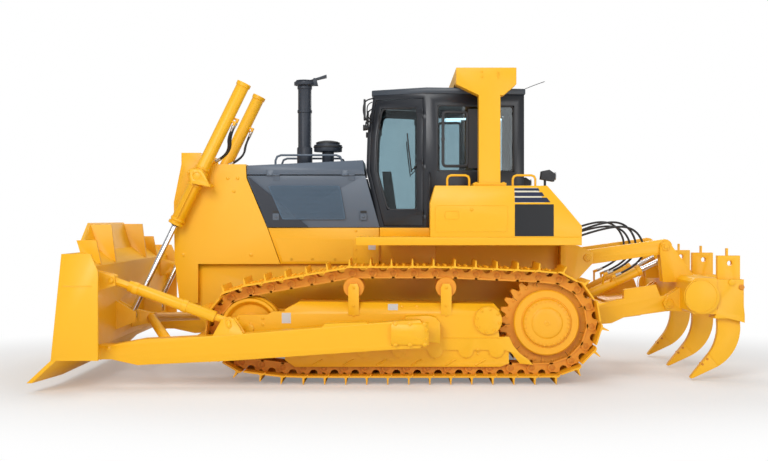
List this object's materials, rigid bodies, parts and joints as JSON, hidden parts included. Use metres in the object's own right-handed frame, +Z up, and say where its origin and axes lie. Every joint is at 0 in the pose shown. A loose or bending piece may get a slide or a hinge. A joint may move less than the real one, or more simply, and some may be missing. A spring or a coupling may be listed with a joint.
{
  "type": "crawler bulldozer with ripper",
  "caption": "Crawler bulldozer with a semi-U blade on outside push arms, lift cylinders at the radiator guard, cab with roll-over posts, and a multi-shank parallelogram ripper.",
  "frame": {"origin": "on the ground under the middle of the overall length and width", "axes": "+X forward, +Y to the machine's left, +Z up"},
  "size_m": [7.211, 3.64, 3.334],
  "materials": {
    "yellow_paint": "semi-gloss machine enamel",
    "grey_paint": "satin dark grey enamel",
    "black_paint": "satin heat-proof black",
    "cab_paint": "satin blue-black enamel",
    "glass": "tinted safety glass",
    "worn_steel": "enamel, scuffed at the edge",
    "chrome_rod": "hard chrome",
    "engine_iron": "cast iron",
    "hose_rubber": "satin black hose cover",
    "seat_fabric": "dark woven cloth",
    "dark_plastic": "moulded, matt"
  },
  "bodies": {
    "tractor": {"main_frame": "yellow_paint", "pivot_shaft": "yellow_paint", "equalizer_bar": "yellow_paint", "engine": "engine_iron", "radiator_guard": "yellow_paint", "radiator_core": "black_paint", "radiator_grille": "black_paint", "hood_top": "grey_paint", "side_panels": "yellow_paint", "exhaust_stack": "black_paint", "precleaner": "black_paint", "platform": "yellow_paint", "fenders": "yellow_paint", "side_boxes": "yellow_paint", "fuel_tank": "yellow_paint", "cab_frame": "cab_paint", "cab_glass": "glass", "cab_roof": "cab_paint", "seat": "seat_fabric", "cab_interior": "dark_plastic", "rops": "yellow_paint", "grab_rails": "yellow_paint", "hood_rails": "grey_paint", "ripper_hoses": "hose_rubber", "rear_lamps": "dark_plastic", "ripper_bracket": "yellow_paint", "track_left": "yellow_paint", "track_right": "yellow_paint", "track_frames": "yellow_paint", "idlers": "yellow_paint", "sprockets": "yellow_paint", "final_drives": "yellow_paint", "rollers": "yellow_paint"},
    "blade_group": {"blade": "yellow_paint", "cutting_edges": "worn_steel", "push_arms": "yellow_paint", "blade_brace": "yellow_paint", "tilt_cylinder": "yellow_paint", "diagonal_braces": "yellow_paint"},
    "rain_cap": {"rain_cap": "black_paint"},
    "ripper_arm": {"ripper_arm": "yellow_paint"},
    "ripper_links": {"ripper_links": "yellow_paint"},
    "ripper_beam": {"ripper_beam": "yellow_paint", "ripper_shanks": "yellow_paint", "ripper_points": "worn_steel"},
    "ripper_tubes": {"ripper_tubes": "yellow_paint"},
    "ripper_rods": {"ripper_rods": "chrome_rod"},
    "lift_tube_left": {"lift_tube_left": "yellow_paint", "lift_hoses_left": "hose_rubber"},
    "lift_rod_left": {"lift_rod_left": "chrome_rod"},
    "cab_door_left": {"cab_door_left": "cab_paint", "door_glass_left": "glass"},
    "hood_door_left": {"hood_door_left": "grey_paint"},
    "lift_tube_right": {"lift_tube_right": "yellow_paint", "lift_hoses_right": "hose_rubber"},
    "lift_rod_right": {"lift_rod_right": "chrome_rod"},
    "cab_door_right": {"cab_door_right": "cab_paint", "door_glass_right": "glass"},
    "hood_door_right": {"hood_door_right": "grey_paint"}
  },
  "joints": [
    {"name": "blade_lift", "type": "hinge", "parent": "tractor", "child": "blade_group", "pos_m": [-0.146, 0, 0.546], "axis": [0, -1, 0], "range_deg": [-10.1, 17.7]},
    {"name": "lift_swing_left", "type": "hinge", "parent": "tractor", "child": "lift_tube_left", "pos_m": [2.173, 0.62, 2.15], "axis": [0, -1, 0], "range_deg": [-8.5, 14.6], "deforming": ["lift_hoses_left"]},
    {"name": "lift_stroke_left", "type": "slide", "parent": "lift_tube_left", "child": "lift_rod_left", "axis": [0.4386, 0, -0.8987], "range_m": [-0.88, 0.51]},
    {"name": "lift_swing_right", "type": "hinge", "parent": "tractor", "child": "lift_tube_right", "pos_m": [2.173, -0.62, 2.15], "axis": [0, -1, 0], "range_deg": [-8.5, 14.6], "deforming": ["lift_hoses_right"]},
    {"name": "lift_stroke_right", "type": "slide", "parent": "lift_tube_right", "child": "lift_rod_right", "axis": [0.4386, 0, -0.8987], "range_m": [-0.88, 0.51]},
    {"name": "ripper_lift", "type": "hinge", "parent": "tractor", "child": "ripper_arm", "pos_m": [-2.061, 0, 0.657], "axis": [0, 1, 0], "range_deg": [-32, 45]},
    {"name": "ripper_link_swing", "type": "hinge", "parent": "tractor", "child": "ripper_links", "pos_m": [-2.065, 0, 1.269], "axis": [0, 1, 0], "range_deg": [-32.5, 45.5]},
    {"name": "ripper_level", "type": "hinge", "parent": "ripper_arm", "child": "ripper_beam", "pos_m": [-2.916, 0, 0.776], "axis": [0, 1, 0], "range_deg": [-45.5, 32.5]},
    {"name": "ripper_cylinder_swing", "type": "hinge", "parent": "tractor", "child": "ripper_tubes", "pos_m": [-1.985, 0, 0.78], "axis": [0, 1, 0], "range_deg": [-23.5, 33], "deforming": ["ripper_hoses"]},
    {"name": "ripper_stroke", "type": "slide", "parent": "ripper_tubes", "child": "ripper_rods", "axis": [-0.9014, 0, 0.433], "range_m": [-0.135, 0.185]},
    {"name": "cab_door_left_swing", "type": "hinge", "parent": "tractor", "child": "cab_door_left", "pos_m": [-0.24857, 0.71476, 2.3], "axis": [0, 0, 1], "range_deg": [0, 95]},
    {"name": "hood_door_left_swing", "type": "hinge", "parent": "tractor", "child": "hood_door_left", "pos_m": [1, 0.512, 2.172], "axis": [1, 0, 0], "range_deg": [0, 75]},
    {"name": "cab_door_right_swing", "type": "hinge", "parent": "tractor", "child": "cab_door_right", "pos_m": [-0.24857, -0.71476, 2.3], "axis": [0, 0, -1], "range_deg": [0, 95]},
    {"name": "hood_door_right_swing", "type": "hinge", "parent": "tractor", "child": "hood_door_right", "pos_m": [1, -0.512, 2.172], "axis": [-1, 0, 0], "range_deg": [0, 75]},
    {"name": "rain_cap_tip", "type": "hinge", "parent": "tractor", "child": "rain_cap", "pos_m": [0.962, 0, 3.281], "axis": [0, -1, 0], "range_deg": [0, 70]}
  ],
  "couplings": [
    {"joint": "lift_swing_left", "follows": "blade_lift", "ratio": 0.815},
    {"joint": "lift_stroke_left", "follows": "blade_lift", "m_per_rad": -2.81},
    {"joint": "lift_swing_right", "follows": "blade_lift", "ratio": 0.815},
    {"joint": "lift_stroke_right", "follows": "blade_lift", "m_per_rad": -2.81},
    {"joint": "ripper_link_swing", "follows": "ripper_lift", "ratio": 1},
    {"joint": "ripper_level", "follows": "ripper_lift", "ratio": -1},
    {"joint": "ripper_cylinder_swing", "follows": "ripper_lift", "ratio": 0.72},
    {"joint": "ripper_stroke", "follows": "ripper_lift", "m_per_rad": 0.23}
  ]
}
